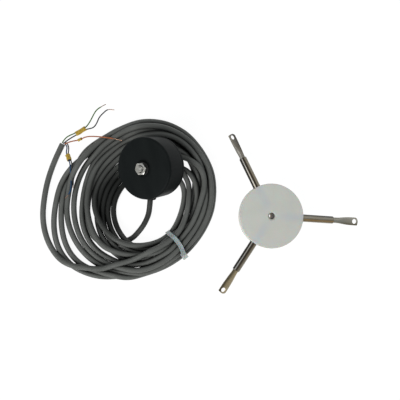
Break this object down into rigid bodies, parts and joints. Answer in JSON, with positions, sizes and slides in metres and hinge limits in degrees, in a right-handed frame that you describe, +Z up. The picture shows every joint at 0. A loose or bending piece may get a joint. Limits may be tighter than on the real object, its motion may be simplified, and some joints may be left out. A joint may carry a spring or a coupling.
{
  "type": "cup anemometer",
  "caption": "Wind sensor taken apart: round black sensor head on its coiled five-metre cable, and a white disc rotor with metal arms for wind cups.",
  "frame": {"origin": "on the table, under the middle of the box round the sensor head and the rotor", "axes": "+Z up from the table; +X from the head to the rotor; +Y away from the cable's tie"},
  "size_m": [0.3433, 0.2035, 0.0624],
  "materials": {
    "black_plastic": "satin moulded black plastic",
    "rubber": "matt black rubber",
    "steel": "bright stainless steel",
    "arm_metal": "bright nickel-plated tube and rod",
    "brass": "machined brass",
    "magnet": "nickel-plated magnet",
    "hub_plastic": "natural white acetal, slightly translucent",
    "white_plastic": "white nylon",
    "board": "green solder mask",
    "terminal": "green terminal block",
    "chip": "black epoxy",
    "cable_jacket": "grey PVC jacket, satin",
    "nylon": "natural nylon, translucent",
    "core_green": "green core insulation",
    "core_black": "black core insulation",
    "core_orange": "orange-brown core insulation",
    "core_blue": "blue core insulation",
    "marker": "yellow marker sleeve"
  },
  "bodies": {
    "sensor": {"housing_shell": "black_plastic", "rear_cover": "black_plastic", "cover_seal": "rubber", "cover_screw_1": "steel", "cover_screw_2": "steel", "cover_screw_3": "steel", "circuit_board": "board", "board_screw_1": "steel", "board_screw_2": "steel", "board_screw_3": "steel", "pulse_sensor": "chip", "terminal_block": "terminal", "pulse_shaper_chip": "chip", "cable_grommet": "rubber", "cable_clamp": "white_plastic", "upper_bearing_outer_ring": "steel", "lower_bearing_outer_ring": "steel", "cable_lead": "cable_jacket", "cable_coil": "cable_jacket", "cable_tail": "cable_jacket", "tie_strap": "nylon", "tie_head": "nylon", "core_green": "core_green", "core_black": "core_black", "core_orange": "core_orange", "core_blue": "core_blue", "core_black_2": "core_black", "marker_1": "marker", "marker_2": "marker", "marker_3": "marker"},
    "spindle_assembly": {"spindle": "steel", "hex_nut": "steel", "shaft_seal": "rubber", "upper_bearing_inner_ring": "steel", "lower_bearing_inner_ring": "steel", "bearing_spacer": "steel", "shaft_circlip": "steel", "magnet_carrier": "black_plastic", "magnet_1": "magnet", "magnet_2": "magnet"},
    "upper_cage": {"upper_ball_cage": "brass"},
    "lower_cage": {"lower_ball_cage": "brass"},
    "rotor": {"rotor_hub": "hub_plastic", "hub_insert": "brass", "arm_tube_1": "arm_metal", "arm_tube_2": "arm_metal", "arm_tube_3": "arm_metal", "arm_rod_1": "arm_metal", "arm_rod_2": "arm_metal", "arm_rod_3": "arm_metal"}
  },
  "joints": [
    {"name": "spindle_spin", "type": "hinge", "parent": "sensor", "child": "spindle_assembly", "pos_m": [-0.0902, 0.0478, 0.0228], "axis": [-0.5308, -0.1664, 0.831], "continuous": true},
    {"name": "upper_cage_spin", "type": "hinge", "parent": "sensor", "child": "upper_cage", "pos_m": [-0.10199, 0.04411, 0.04125], "axis": [-0.5308, -0.1664, 0.831], "continuous": true},
    {"name": "lower_cage_spin", "type": "hinge", "parent": "sensor", "child": "lower_cage", "pos_m": [-0.09784, 0.0454, 0.03477], "axis": [-0.5308, -0.1664, 0.831], "continuous": true},
    {"name": "rotor_lift", "type": "slide", "parent": "sensor", "child": "rotor", "axis": [0, 0, 1], "range_m": [0, 0.1]}
  ],
  "couplings": [
    {"joint": "upper_cage_spin", "follows": "spindle_spin", "ratio": 0.41667},
    {"joint": "lower_cage_spin", "follows": "spindle_spin", "ratio": 0.41667}
  ]
}
